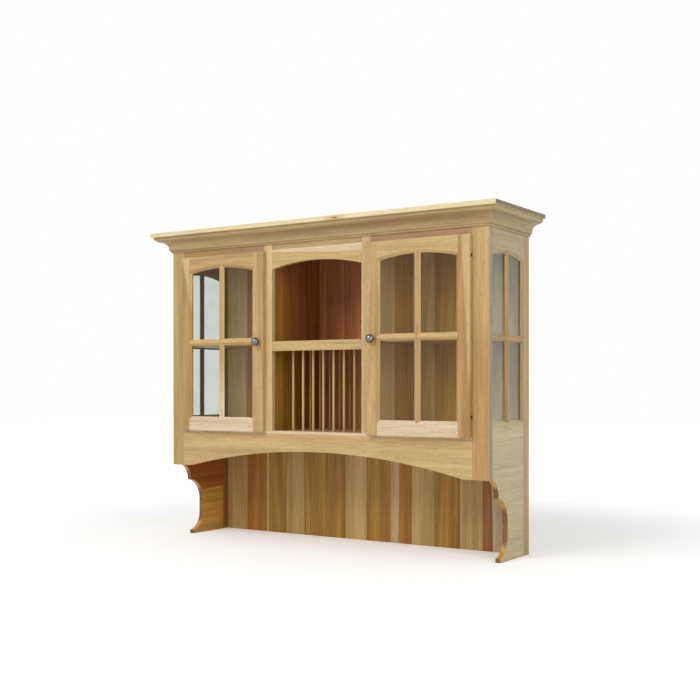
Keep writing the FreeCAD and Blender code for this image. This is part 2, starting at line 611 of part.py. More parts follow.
def doors():
    envelope = door_envelope()
    depth = (DOOR_FRONT, DOOR_BACK)
    face_left = f"({DOOR_SIGHT_LEFT} - stick_width)"
    face_right = f"({DOOR_SIGHT_RIGHT} + stick_width)"
    full = (DOOR_FOOT, DOOR_TOP)
    frame_leaves, door_leaves, room = hinges({"lower": f"({DOOR_FOOT} + hinge_from_end)",
                                              "upper": f"({DOOR_TOP} - hinge_from_end)"})

    latch_run = profile("latch_stile_run", "XY",
                        moulded_section(LATCH_EDGE, DOOR_SIGHT_LEFT, "-1"), *full)
    hinge_run = profile("hinge_stile_run", "XY",
                        moulded_section(HINGE_EDGE, DOOR_SIGHT_RIGHT, "1"), *full)
    latch_stile = common("latch_stile", latch_run, envelope)
    pair("door_latch_stile", latch_stile)
    hinge_stile = cut("hinge_stile", common("hinge_stile_whole", hinge_run, envelope), *room)
    pair("door_hinge_stile", hinge_stile)

    rail_section = [point[::-1] for point in moulded_section(DOOR_FOOT, DOOR_SIGHT_FOOT, "-1")]
    rail_run = profile("bottom_rail_run", "YZ", rail_section, face_left, face_right)
    bottom_rail = common("bottom_rail", cut("bottom_rail_coped", rail_run, latch_run, hinge_run),
                         envelope)
    pair("door_bottom_rail", bottom_rail)

    half = "(door_glass_width / 2)"
    radius = arch_radius(half, "door_arch_rise")
    middle = f"({DOOR_SIGHT_LEFT} + {half})"
    centre = (middle, f"{DOOR_SPRING} + door_arch_rise - {radius}")
    blank = board("door_top_rail_blank", (face_left, face_right), depth,
                  (f"{DOOR_SPRING} - 2", DOOR_TOP))
    arch = drum("door_arch", "Y", centre, f"{DOOR_FRONT} - 1", f"{DOOR_BACK} + 1", radius)
    step_end = f"{DOOR_FRONT} + stick_step"
    step = drum("door_arch_step", "Y", centre, f"{DOOR_FRONT} - 1", step_end,
                f"{radius} + stick_width")
    moulding = drum("door_arch_moulding", "Y", centre, step_end, f"{DOOR_FRONT} + stick_depth",
                    f"{radius} + stick_width", radius)
    rebate = drum("door_arch_rebate", "Y", centre, f"{DOOR_FRONT} + seat_depth",
                  f"{DOOR_BACK} + 1", f"{radius} + rebate")
    top_rail = common("door_top_rail", cut("door_top_rail_coped", blank, arch, step, moulding,
                                           rebate, latch_run, hinge_run), envelope)
    pair("door_top_rail", top_rail)

    cross = bars("door", "XZ", middle, f"{DOOR_FOOT} + door_muntin_height",
                 (face_left, face_right),
                 (f"{DOOR_SIGHT_FOOT} - stick_width", f"{DOOR_TOP} - bottom_rail / 2"),
                 DOOR_FRONT, f"{DOOR_FRONT} + seat_depth", "1")
    pair("door_muntins", cut("door_muntins", cross, latch_run, hinge_run, bottom_rail, top_rail))

    edges = (DOOR_SIGHT_LEFT, DOOR_SIGHT_RIGHT, DOOR_SIGHT_FOOT, DOOR_SPRING, "door_arch_rise")
    seat = f"({DOOR_FRONT} + seat_depth)"
    behind = f"({seat} + glass_thick)"
    pane = pane_outline(*edges, "(rebate - glass_play)")
    pair("door_glass", profile("door_glass", "XZ", pane, seat, behind))
    bead_back = f"({behind} + bead_depth)"
    pair("door_glass_bead", cut("door_glass_bead",
                                profile("door_bead_outer", "XZ", pane, behind, bead_back),
                                profile("door_bead_inner", "XZ",
                                        pane_outline(*edges, BEAD_INSIDE),
                                        f"{behind} - 1", f"{bead_back} + 1")))
    pair("door_hardware", group("door_hardware", door_leaves + [knob(), strike_plate()]))
    node("hinge_frame_leaves",
         group("hinge_frame_leaves",
               frame_leaves + [mirror(f"left_{leaf.Name}", leaf) for leaf in frame_leaves]))


# ---------------------------------------------------------------- catches

CATCH_LOW = "(open_height + side_shelf_top + catch_above_shelf)"
CATCH_NOSE = (f"{MULLION_OUTER} + door_play", f"{MULLION_OUTER} + door_play + catch_width")
STRIKE_BACK = f"({DOOR_BACK} + strike_thick)"


def strike_plate():
    return board("strike_plate", CATCH_NOSE, (DOOR_BACK, STRIKE_BACK),
                 (CATCH_LOW, f"{CATCH_LOW} + catch_height"))


def catches():
    """A magnetic catch on each partition, that meets the strike plate on the door's back."""
    high = f"{CATCH_LOW} + catch_height"
    body = board("catch_body", (PARTITION_OUTER, CATCH_NOSE[1]),
                 (FRAME_BACK, f"{FRAME_BACK} + board_thick"), (CATCH_LOW, high))
    magnet = board("catch_magnet", CATCH_NOSE, (f"{STRIKE_BACK} + strike_play", FRAME_BACK),
                   (f"{CATCH_LOW} + catch_height / 4", f"{high} - catch_height / 4"))
    catch = fuse("right_catch", body, magnet)
    node("door_catches", group("door_catches", [catch, mirror("left_catch", catch)]))


# ---------------------------------------------------------------- build, test and write

def write_parts():
    doc.recompute()
    failed = [item.Name for item in doc.Objects
              if "Invalid" in item.State or "Error" in item.State]
    if failed:
        raise RuntimeError(f"objects failed to recompute: {failed}")
    for piece in nodes:
        if piece.Shape.isNull() or not piece.Shape.isValid() or not piece.Shape.Solids:
            raise RuntimeError(f"{piece.Label} has no valid solid")
    os.makedirs("parts", exist_ok=True)
    for piece in nodes:
        piece.Shape.exportStep(os.path.join("parts", f"{piece.Label}.step"))
    box = group_bounds([piece.Shape for piece in nodes])
    print(f"{len(nodes)} parts, from {box[0]} to {box[1]}")


def group_bounds(shapes):
    box = FreeCAD.BoundBox()
    for shape in shapes:
        box.add(shape.BoundBox)
    return ([round(place, 2) for place in (box.XMin, box.YMin, box.ZMin)],
            [round(place, 2) for place in (box.XMax, box.YMax, box.ZMax)])


face_frame()
inside_boards()
dowels()
back()
crown()
top_board()
side_frames()
doors()
catches()
write_parts()
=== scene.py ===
import json
import math
import random

import bmesh
import bpy
from mathutils import Matrix, Vector


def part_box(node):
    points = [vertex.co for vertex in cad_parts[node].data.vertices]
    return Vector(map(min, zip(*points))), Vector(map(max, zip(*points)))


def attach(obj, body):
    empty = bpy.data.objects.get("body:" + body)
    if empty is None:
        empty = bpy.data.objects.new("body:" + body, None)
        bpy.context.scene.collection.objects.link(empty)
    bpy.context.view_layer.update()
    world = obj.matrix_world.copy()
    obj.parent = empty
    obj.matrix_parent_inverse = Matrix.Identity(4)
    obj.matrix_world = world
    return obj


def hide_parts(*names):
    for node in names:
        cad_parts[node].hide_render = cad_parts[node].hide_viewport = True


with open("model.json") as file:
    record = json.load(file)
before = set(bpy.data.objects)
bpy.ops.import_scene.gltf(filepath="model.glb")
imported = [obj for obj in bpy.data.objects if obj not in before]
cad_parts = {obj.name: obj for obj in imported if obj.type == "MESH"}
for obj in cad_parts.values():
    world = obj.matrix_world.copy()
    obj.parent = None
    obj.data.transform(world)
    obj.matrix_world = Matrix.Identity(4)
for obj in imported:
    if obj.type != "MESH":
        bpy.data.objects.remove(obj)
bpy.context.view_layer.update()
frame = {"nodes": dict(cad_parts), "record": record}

chance = random.Random(11)

# ------------------------------------------------------------------ colours

WOODS = {                     # the paler and the deeper colour of each wood, as sRGB
    "ivory": ((245, 232, 188), (226, 208, 158)),
    "cream": ((240, 222, 186), (214, 190, 148)),
    "butter": ((248, 226, 168), (222, 192, 132)),
    "flax": ((230, 202, 148), (195, 161, 106)),
    "straw": ((224, 193, 134), (187, 153, 94)),
    "honey": ((214, 181, 122), (174, 138, 83)),
    "amber": ((209, 169, 107), (168, 129, 70)),
    "blush": ((200, 163, 118), (164, 125, 86)),
    "tan": ((206, 180, 126), (166, 138, 90)),
    "fawn": ((194, 167, 110), (158, 129, 81)),
    "ginger": ((196, 162, 98), (159, 127, 71)),
    "khaki": ((190, 169, 114), (155, 133, 85)),
    "olive": ((191, 175, 129), (161, 143, 99)),
    # a darker olive: painted shade
    "shaded_moss": ((170, 156, 114), (141, 127, 87)),
    "sage": ((206, 191, 140), (185, 169, 119)),
    "wheat": ((233, 201, 134), (194, 157, 92)),
    "rush": ((217, 186, 113), (178, 143, 77)),
    "corn": ((232, 184, 92), (186, 138, 58)),
    "gold": ((213, 162, 62), (160, 114, 36)),
    "toffee": ((186, 138, 54), (138, 95, 32)),
    "russet": ((212, 146, 50), (164, 108, 34)),
    "copper": ((194, 125, 66), (138, 85, 41)),
    "sienna": ((229, 150, 88), (165, 107, 58)),
    "henna": ((202, 116, 52), (146, 80, 33)),
}
BARK_BROWN = (122, 82, 46)    # what pores, fibres and mineral streaks darken the wood with
END_GRAIN = (122, 108, 76)    # what the ends of a board are darkened with
KNOT_HALO = (196, 150, 92)    # what the grain round a knot is darkened with
KNOT_HEART = (110, 66, 34)


def srgb(red, green, blue):
    """A colour written as sRGB 0 to 255, as the linear values that a socket holds."""
    def linear(level):
        level /= 255
        return level / 12.92 if level <= 0.04045 else ((level + 0.055) / 1.055) ** 2.4
    return (linear(red), linear(green), linear(blue), 1.0)


# ------------------------------------------------------------------ node groups

class Graph:
    """Short names for building a node tree."""

    def __init__(self, tree):
        self.tree = tree

    def feed(self, socket, value):
        """Links the output of another node to a socket, or sets the socket to a plain value."""
        if isinstance(value, bpy.types.NodeSocket):
            self.tree.links.new(value, socket)
        else:
            socket.default_value = value

    def add(self, kind, inputs=None, **settings):
        """A new node with its settings, and with its inputs by name or number."""
        node = self.tree.nodes.new(kind)
        for name, value in settings.items():
            setattr(node, name, value)
        for name, value in (inputs or {}).items():
            self.feed(node.inputs[name], value)
        return node

    def math(self, operation, first, second=0.0, clamp=False):
        return self.add("ShaderNodeMath", {0: first, 1: second}, operation=operation,
                        use_clamp=clamp).outputs[0]

    def vectors(self, operation, first, second=(0.0, 0.0, 0.0)):
        """Sums with vectors. A dot product or a length comes out as a number."""
        node = self.add("ShaderNodeVectorMath", {0: first, 1: second}, operation=operation)
        return node.outputs["Value" if operation in ("DOT_PRODUCT", "LENGTH") else "Vector"]

    def noise(self, vector, scale, detail=2.0, roughness=0.5, output="Fac"):
        """Noise from 0 to 1, or as a colour, with about scale spots to the metre."""
        return self.add("ShaderNodeTexNoise", {"Vector": vector, "Scale": scale, "Detail": detail,
                                               "Roughness": roughness}).outputs[output]

    def fibrous(self, vector, along, across, detail=2.0, roughness=0.5, output="Fac"):
        """Noise with one scale along the grain, which runs along X, and another across it."""
        stretched = self.vectors("MULTIPLY", vector, (along, across, across))
        return self.noise(stretched, 1.0, detail, roughness, output)

    def ramp(self, value, low, high, to_low=0.0, to_high=1.0):
        """A smooth step: to_low where the value is low, to_high where it is high."""
        return self.add("ShaderNodeMapRange", {"Value": value, "From Min": low, "From Max": high,
                                               "To Min": to_low, "To Max": to_high},
                        interpolation_type="SMOOTHSTEP").outputs[0]

    def blend(self, factor, first, second, mode="MIX"):
        node = self.add("ShaderNodeMix", data_type="RGBA", blend_type=mode, clamp_factor=True)
        for index, value in ((0, factor), (6, first), (7, second)):    # a colour mix's sockets
            self.feed(node.inputs[index], value)
        return node.outputs[2]


def new_group(name, inputs, outputs):
    """An empty node group. inputs maps a name to (type, default), and outputs names the
    masks and heights that it puts out."""
    tree = bpy.data.node_groups.new(name, "ShaderNodeTree")
    for label, (kind, default) in inputs.items():
        socket = tree.interface.new_socket(label, in_out="INPUT", socket_type=kind)
        if default is not None:
            socket.default_value = default
    for label in outputs:
        tree.interface.new_socket(label, in_out="OUTPUT", socket_type="NodeSocketFloat")
    return Graph(tree), tree.nodes.new("NodeGroupInput"), tree.nodes.new("NodeGroupOutput")


def hickory_grain():
    """Growth rings, streaks, long fibres, pores and slow drift of tone in a board whose
    grain runs along X. Puts out masks from 0 to 1 and a height."""
    graph, given, out = new_group(
        "hickory_grain",
        {"Vector": ("NodeSocketVector", None), "Ring Scale": ("NodeSocketFloat", 45.0),
         "Wander": ("NodeSocketFloat", 0.03)},
        ("Rings", "Streaks", "Mineral", "Fibres", "Pores", "Drift", "Height"))
    vector = given.outputs["Vector"]
    slow = graph.fibrous(vector, along=1.3, across=7.0, output="Color")
    wander = graph.vectors("MULTIPLY", graph.vectors("SUBTRACT", slow, (0.5, 0.5, 0.5)),
                           given.outputs["Wander"])
    drawn_out = graph.vectors("MULTIPLY", vector, (0.05, 1.0, 1.0))    # slow along the grain
    bent = graph.vectors("ADD", drawn_out, wander)
    rings = graph.add("ShaderNodeTexWave", {"Vector": bent, "Scale": given.outputs["Ring Scale"]},
                      wave_type="RINGS", rings_direction="X", wave_profile="SAW").outputs["Fac"]
    early_wood = graph.ramp(rings, 0.55, 0.1)
    streaks = graph.fibrous(bent, along=22.0, across=46.0, detail=3.0, roughness=0.55)
    mineral = graph.fibrous(bent, along=30.0, across=170.0)
    drift = graph.fibrous(vector, along=0.9, across=16.0)
    fibres = graph.fibrous(vector, along=7.0, across=420.0, detail=3.0, roughness=0.6)
    dashes = graph.fibrous(vector, along=55.0, across=1300.0, detail=1.0)
    pores = graph.math("MULTIPLY", graph.ramp(dashes, 0.56, 0.66),
                       graph.math("ADD", early_wood, 0.25), clamp=True)
    masks = {"Rings": rings, "Fibres": fibres, "Pores": pores,
             "Streaks": graph.ramp(streaks, 0.36, 0.64),
             "Mineral": graph.ramp(mineral, 0.60, 0.74),
             "Drift": graph.ramp(drift, 0.3, 0.7),
             "Height": graph.math("SUBTRACT", graph.math("MULTIPLY", fibres, 0.4),
                                  graph.math("MULTIPLY", pores, 0.8))}
    for name, socket in masks.items():
        graph.feed(out.inputs[name], socket)
    return graph.tree


def sapwood_edge():
    """Where the other wood of a board begins: past a wavering line across the grain."""
    graph, given, out = new_group(
        "sapwood_edge",
        {"Vector": ("NodeSocketVector", None), "Across": ("NodeSocketVector", None),
         "Start": ("NodeSocketFloat", 0.0), "Softness": ("NodeSocketFloat", 0.002),
         "Waver": ("NodeSocketFloat", 0.006)},
        ("Mask",))
    vector = given.outputs["Vector"]
    place = graph.vectors("DOT_PRODUCT", vector, given.outputs["Across"])
    stray = graph.math("SUBTRACT", graph.noise(vector, scale=5.0), 0.5)
    waver = graph.math("MULTIPLY", stray, given.outputs["Waver"])
    past = graph.math("SUBTRACT", graph.math("ADD", place, waver), given.outputs["Start"])
    softened = graph.math("DIVIDE", past, given.outputs["Softness"])
    graph.feed(out.inputs["Mask"], graph.math("ADD", softened, 0.5, clamp=True))
    return graph.tree


def grown_knot():
    """A small knot: a dark heart and the darker ring where the grain flows round it. The more
    Squeeze there is on an axis, the smaller the knot is along it."""
    graph, given, out = new_group(
        "grown_knot",
        {"Vector": ("NodeSocketVector", None), "Centre": ("NodeSocketVector", None),
         "Squeeze": ("NodeSocketVector", None)},
        ("Heart", "Halo"))
    away = graph.vectors("SUBTRACT", given.outputs["Vector"], given.outputs["Centre"])
    away = graph.vectors("MULTIPLY", away, given.outputs["Squeeze"])
    unevenness = graph.math("MULTIPLY", graph.noise(away, scale=2.3, detail=3.0), 0.5)
    ragged = graph.math("ADD", graph.vectors("LENGTH", away), unevenness)
    graph.feed(out.inputs["Heart"], graph.ramp(ragged, 0.75, 0.45))
    graph.feed(out.inputs["Halo"], graph.ramp(ragged, 2.2, 0.7))
    return graph.tree


GRAIN = hickory_grain()
SAPWOOD = sapwood_edge()
KNOT = grown_knot()


# ------------------------------------------------------------------ hickory

GRAIN_TO_X = {                # the turn that lays the grain of a board along X
    "X": Matrix.Identity(3),
    "Y": Matrix.Rotation(math.radians(-90), 3, "Z"),
    "Z": Matrix.Rotation(math.radians(90), 3, "Y"),
}
ASKEW = 2.2                   # the degrees by which a board may be sawn out of true
ALONG_LOG = 20.0              # how far up or down its log a board may lie, in metres
OFF_PITH = ((0.01, 0.12), (0.04, 0.12))   # how far from the pith, on the two other axes
RING_SCALES = (34.0, 60.0)    # from wide rings to narrow ones

PLAIN = {"Rings": 0.3, "Streaks": 0.42, "Drift": 0.28}    # how much each deepens the colour
LIVELY = {"Rings": 0.42, "Streaks": 0.5, "Drift": 0.34}
BOLD = {"Rings": 0.5, "Streaks": 0.5, "Drift": 0.4}

RIGHT = (1, 0, 0)
FRONT = (0, -1, 0)
UP = (0, 0, 1)
DOWN = (0, 0, -1)


def new_material(name):
    """An empty material, with its graph and its output node."""
    material = bpy.data.materials.new(name)
    material.use_nodes = True
    material.node_tree.nodes.clear()
    graph = Graph(material.node_tree)
    return material, graph, graph.add("ShaderNodeOutputMaterial")


def beyond(across, start, wood, softness=0.002, waver=0.0):
    """A second wood for the part of a board that lies past start along the vector across. The
    line between the two is as wide as softness and strays by waver."""
    return {"Across": across, "Start": start, "Softness": softness, "Waver": waver}, wood


def place_in_log(grain, centre):
    """Where a board lay in a log whose pith is the X axis: the shift and the turn that bring it
    there."""
    turn = GRAIN_TO_X[grain]
    for axis in "YZ":
        turn = Matrix.Rotation(math.radians(chance.uniform(-ASKEW, ASKEW)), 3, axis) @ turn
    along = chance.uniform(-ALONG_LOG, ALONG_LOG)
    aside = [chance.choice((-1, 1)) * chance.uniform(*reach) for reach in OFF_PITH]
    return Vector((along, *aside)) - turn @ Vector(centre), turn.to_euler()


def board_colours(graph, place, wood, sap):
    """The paler and the deeper colour of a board, which is of two woods where it has a sap."""
    colours = [srgb(*colour) for colour in WOODS[wood]]
    if sap is None:
        return colours
    line, other_wood = sap
    edge = graph.add("ShaderNodeGroup", {"Vector": place, **line}, node_tree=SAPWOOD,
                     label="sapwood")
    return [graph.blend(edge.outputs["Mask"], colour, srgb(*other))
            for colour, other in zip(colours, WOODS[other_wood])]


def grained_colour(graph, grain, pale, deep, figure):
    """The colour of a sawn board, from its two colours and the masks of its grain."""
    rings, streaks, drift = (graph.math("MULTIPLY", grain.outputs[mask], share)
                             for mask, share in figure.items())
    depth = graph.math("ADD", graph.math("ADD", rings, streaks), drift, clamp=True)
    colour = graph.blend(depth, pale, deep)
    for amount in (graph.math("MULTIPLY", grain.outputs["Mineral"], 0.25),
                   graph.math("MULTIPLY", grain.outputs["Pores"], 0.45),
                   graph.ramp(grain.outputs["Fibres"], 0.3, 0.7, 0.0, 0.24)):
        colour = graph.blend(amount, colour, srgb(*BARK_BROWN), "MULTIPLY")
    return colour


def knotted_colour(graph, place, colour, knot):
    """The colour with a knot in it. knot holds the inputs Centre and Squeeze of its group."""
    mark = graph.add("ShaderNodeGroup", {"Vector": place, **knot}, node_tree=KNOT, label="knot")
    halo = graph.math("MULTIPLY", mark.outputs["Halo"], 0.45)
    heart = graph.math("MULTIPLY", mark.outputs["Heart"], 0.8)
    colour = graph.blend(halo, colour, srgb(*KNOT_HALO), "MULTIPLY")
    return graph.blend(heart, colour, srgb(*KNOT_HEART))


def hickory(name, wood, grain, centre, sap=None, knot=None, shine=0.22, figure=PLAIN):
    """Clear-finished hickory for one board. grain is the axis that the fibres follow, centre
    the middle of the board, sap what beyond() makes, knot the inputs of a knot's group, and
    shine the weight of the varnish."""
    material, graph, output = new_material(name)
    coordinates = graph.add("ShaderNodeTexCoord")
    place = coordinates.outputs["Object"]
    shift, turn = place_in_log(grain, centre)
    in_log = graph.add("ShaderNodeMapping", {"Vector": place, "Location": shift,
                                             "Rotation": turn}).outputs[0]
    masks = graph.add("ShaderNodeGroup",
                      {"Vector": in_log, "Ring Scale": chance.uniform(*RING_SCALES)},
                      node_tree=GRAIN, label="grain")
    pale, deep = board_colours(graph, place, wood, sap)
    colour = grained_colour(graph, masks, pale, deep, figure)
    if knot:
        colour = knotted_colour(graph, place, colour, knot)
    facing = graph.vectors("DOT_PRODUCT", coordinates.outputs["Normal"],
                           [float(axis == grain) for axis in "XYZ"])
    ends = graph.ramp(graph.math("ABSOLUTE", facing), 0.75, 0.95, 0.0, 0.8)
    colour = graph.blend(ends, colour, srgb(*END_GRAIN), "MULTIPLY")
    rough = graph.ramp(masks.outputs["Fibres"], 0.2, 0.8, 0.36, 0.5)
    bump = graph.add("ShaderNodeBump", {"Height": masks.outputs["Height"], "Strength": 0.25,
                                        "Distance": 0.0003}).outputs[0]
    varnished = graph.add("ShaderNodeBsdfPrincipled", {
        "Base Color": colour, "Roughness": rough, "Normal": bump, "Specular IOR Level": 0.35,
        "Coat Weight": shine, "Coat Roughness": 0.25})
    graph.feed(output.inputs["Surface"], varnished.outputs[0])
    return material


# ------------------------------------------------------------------ glass and metals

def window_glass(name, base_tint, smeared_tint):
    """Sheet glass, faintly smeared and wavy, that lets lamps through. A darker base tint paints
    shade onto what is seen through it.
    """
    material, graph, output = new_material(name)
    place = graph.add("ShaderNodeTexCoord").outputs["Object"]
    smear = graph.ramp(graph.noise(place, scale=7.0, detail=4.0, roughness=0.6), 0.35, 0.75)
    tint = graph.blend(smear, srgb(*base_tint), srgb(*smeared_tint))
    waves = graph.add("ShaderNodeBump", {"Height": graph.noise(place, scale=5.0, detail=0.0),
                                         "Strength": 0.1, "Distance": 0.002}).outputs[0]
    glass = graph.add("ShaderNodeBsdfPrincipled", {
        "Base Color": tint, "Normal": waves, "Roughness": 0.0, "Transmission Weight": 1.0,
        "IOR": 1.45, "Specular Tint": srgb(182, 184, 154)})
    clear = graph.add("ShaderNodeBsdfTransparent", {"Color": srgb(247, 248, 246)})
    lamp = graph.add("ShaderNodeLightPath").outputs["Is Shadow Ray"]
    either = graph.add("ShaderNodeMixShader", {0: lamp, 1: glass.outputs[0], 2: clear.outputs[0]})
    graph.feed(output.inputs["Surface"], either.outputs[0])
    return material


def metal(name, pale, deep, roughness, grit):
    """Plated metal with faint wear in its tone and shine. grit is the strength of its bumps."""
    material, graph, output = new_material(name)
    place = graph.add("ShaderNodeTexCoord").outputs["Object"]
    wear = graph.noise(place, scale=180.0, detail=4.0)
    colour = graph.blend(graph.ramp(wear, 0.35, 0.7), srgb(*pale), srgb(*deep))
    rough = graph.ramp(wear, 0.3, 0.8, roughness, roughness + 0.12)
    bump = graph.add("ShaderNodeBump", {"Height": graph.noise(place, scale=900.0),
                                        "Strength": grit, "Distance": 0.0002}).outputs[0]
    plated = graph.add("ShaderNodeBsdfPrincipled", {"Base Color": colour, "Roughness": rough,
                                                    "Normal": bump, "Metallic": 1.0})
    graph.feed(output.inputs["Surface"], plated.outputs[0])
    return material


# the side panes are tinted much darker than the door panes: painted shade on the inside seen
# through them
GLASS = {"door_glass": window_glass("door_glass", (251, 252, 250), (244, 246, 243)),
         "side_glass": window_glass("side_glass", (214, 218, 212), (205, 210, 203))}
# far darker than bright nickel: painted dark reflections of surroundings that the studio lacks
NICKEL_PAINTED_DARK = metal("polished_nickel_painted_dark", (132, 132, 130), (92, 90, 86), roughness=0.14, grit=0.05)
BRASS = metal("dull_brass", (168, 134, 82), (124, 94, 56), roughness=0.38, grit=0.15)
# only on hinge knuckles, where its darkness is partly painted shade of the gap
BRONZE_FOR_PAINTED_SHADE = metal("dark_bronze", (104, 76, 42), (66, 48, 28), roughness=0.38, grit=0.15)
STEEL = metal("zinc_plate", (150, 148, 142), (110, 108, 102), roughness=0.4, grit=0.15)


# ------------------------------------------------------------------ pieces

BODY_OF = {node: body for body, members in frame["record"]["behaviour"]["bodies"].items()
           for node in members}

SAME_POINT = 2e-6             # corners nearer to each other than this are one, in metres
FLAT = math.radians(0.5)      # faces that meet at less than this are one face
FACET = 0.02                  # facets of a curve meet at more than this, in radians
SHARP = 0.5                   # and real edges at more than this
CREASE = math.radians(21)     # the shading breaks at more than this

SQUARE = 0.0                  # how far edges are rounded, in metres: beads, dowels, hinges
CRISP = 0.0003                # doors and mouldings
EASED = 0.0005                # the frame, the case and the catches
WORN = 0.0008                 # rough boards


def place_piece(name, bm, material, node):
    """Turns a bmesh into a piece that rides on the node's body and stands for the node."""
    mesh = bpy.data.meshes.new(name)
    bm.to_mesh(mesh)
    bm.free()
    mesh.materials.append(material)
    piece = bpy.data.objects.new(name, mesh)
    bpy.context.scene.collection.objects.link(piece)
    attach(piece, BODY_OF[node])
    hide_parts(node)
    return piece


def solids_of(node):
    """A merged bmesh for each separate solid of a CAD node, from left to right."""
    whole = bmesh.new()
    whole.from_mesh(frame["nodes"][node].data)
    bmesh.ops.remove_doubles(whole, verts=whole.verts, dist=SAME_POINT)
    whole.verts.index_update()
    solid_of = {}
    count = 0
    for seed in whole.verts:
        if seed.index in solid_of:
            continue
        waiting = [seed]
        while waiting:
            vert = waiting.pop()
            if vert.index not in solid_of:
                solid_of[vert.index] = count
                waiting += [edge.other_vert(vert) for edge in vert.link_edges]
        count += 1
    solids = []
    for number in range(count):
        solid = whole.copy()
        solid.verts.ensure_lookup_table()
        others = [vert for vert in solid.verts if solid_of[vert.index] != number]
        bmesh.ops.delete(solid, geom=others, context="VERTS")
        solids.append(solid)
    whole.free()
    return sorted(solids, key=lambda solid: min(vert.co.x for vert in solid.verts))


def ease_edges(bm, width):
    """Joins flat faces, rounds the sharp edges by width and shades curved faces smooth."""
    bmesh.ops.dissolve_limit(bm, angle_limit=FLAT, verts=bm.verts, edges=bm.edges)
    for face in bm.faces:
        face.smooth = any(FACET < edge.calc_face_angle(0.0) < SHARP for edge in face.edges)
    if width:
        sharp = [edge for edge in bm.edges if edge.calc_face_angle(0.0) > SHARP]
        bmesh.ops.bevel(bm, geom=sharp, offset=width, offset_type="OFFSET", segments=2,
                        profile=0.5, affect="EDGES", clamp_overlap=True, material=-1)
    for edge in bm.edges:
        edge.smooth = edge.calc_face_angle(0.0) < CREASE


def centre_of(bm):
    """The middle of the box round a bmesh."""
    spans = [[vert.co[axis] for vert in bm.verts] for axis in range(3)]
    return [(min(span) + max(span)) / 2 for span in spans]


def wooden(node, woods, grain, ease=EASED, **looks):
    """A wooden part: each of its solids with eased edges and its own cut of hickory. woods is
    one wood for all, or a wood or (wood, sap) for each solid from left to right. looks goes to
    hickory()."""
    solids = solids_of(node)
    for number, solid in enumerate(solids):
        name = node if len(solids) == 1 else f"{node}_{number + 1}"
        own = dict(looks)
        wood = woods if isinstance(woods, str) else woods[number]
        if isinstance(wood, tuple):
            wood, own["sap"] = wood
        material = hickory(f"hickory_{name}", wood, grain, centre_of(solid), **own)
        ease_edges(solid, ease)
        place_piece(f"worked_{name}", solid, material, node)


def both(part, woods, grain, **looks):
    """The left and the right one of a wooden part, of one wood or of a pair of woods."""
    pair = (woods, woods) if isinstance(woods, str) else woods
    for side, wood in zip(("left", "right"), pair):
        wooden(f"{side}_{part}", wood, grain, **looks)


# ------------------------------------------------------------------ the case

CASE_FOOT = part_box("right_stile")[0].z    # the underside of the face frame
BRACKET_MIDDLE = (0.717, 0.0, 0.2)


def make_face_frame():
    wooden("left_stile", "honey", "Z")
    wooden("right_stile", "straw", "Z", sap=beyond(DOWN, -0.95, "amber", softness=0.5, waver=0.2))
    both("mullion", "flax", "Z")
    wooden("left_top_rail", "amber", "X",
           sap=beyond(RIGHT, -0.42, "blush", softness=0.15, waver=0.1))
    wooden("right_top_rail", "blush", "X")
    wooden("niche_top_rail", "tan", "X")
    wooden("niche_arch_rail", "straw", "X",
           sap=beyond((0.0557, 0, 1), 1.1437, "cream", waver=0.004))
    wooden("shelf_rail", "straw", "X")
    # a cream band along the top edge of the apron: painted light where the edge catches the light
    wooden("apron", "straw", "X", sap=beyond(UP, 0.4427, "cream", waver=0.002))


def make_sides():
    """The left side is redder within, where it is seen through the doors."""
    glass_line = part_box("left_side_glass")[0].x
    inner_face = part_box("left_side_panel")[1].x
    pale_below = 0.183        # the height up to which the panel's inner face is paler
    steep = 60.0              # so steep that of its two faces only the inner one is of two woods
    # a redder wood on the inner faces of the left side's rear stile and top rail, like the panel's
    # inner face
    redder_within = beyond(RIGHT, glass_line, "copper")
    light_outside = beyond((-steep, 0.05, -1), -steep * inner_face - pale_below, "corn",
                           softness=0.001)
    # the right side's front stile gets a darker wood than the left: painted shade on that corner
    both("side_front_stile", ("fawn", "shaded_moss"), "Z")
    wooden("left_side_rear_stile", "fawn", "Z", sap=redder_within)
    wooden("right_side_rear_stile", "fawn", "Z")
    wooden("left_side_top_rail", "olive", "Y", sap=redder_within)
    wooden("right_side_top_rail", "olive", "Y")
    wooden("left_side_panel", "henna", "Y", sap=light_outside)
    wooden("right_side_panel", "sage", "Y")
    both("side_muntins", "ginger", "Z")
    both("side_glass_bead", "tan", "Z", ease=SQUARE)


def warm_bracket_edge():
    """Gives the sawn edge of the right bracket, under the case, a warmer wood."""
    panel = bpy.data.objects["worked_right_side_panel"].data
    panel.materials.append(hickory("hickory_right_bracket_edge", "corn", "Y", BRACKET_MIDDLE))
    for face in panel.polygons:
        on_edge = abs(face.normal.x) < 0.5
        face.material_index = int(on_edge and face.center.z < CASE_FOOT)


def make_inside():
    # the lower front of the left partition gets a more golden wood: painted light where light from
    # the front reaches it
    painted_light_low_front = beyond((0, -1, -0.6), -0.49, "toffee", softness=0.12, waver=0.06)
    glued_board = beyond(FRONT, -0.069, "flax", softness=0.003)
    wooden("left_partition", "copper", "Z", shine=0.08, sap=painted_light_low_front)
    wooden("right_partition", "gold", "Z", shine=0.08, sap=glued_board)
    both("shelf", "gold", "X")
    wooden("niche_shelf", "gold", "X")
    wooden("bottom_shelf", "straw", "X")
    wooden("case_top", "gold", "X")
    wooden("front_dowels", "straw", "Z", ease=SQUARE)
    # the rear dowels get a darker wood than the front row: painted shade, as they stand behind it
    wooden("rear_dowels", "toffee", "Z", ease=SQUARE)


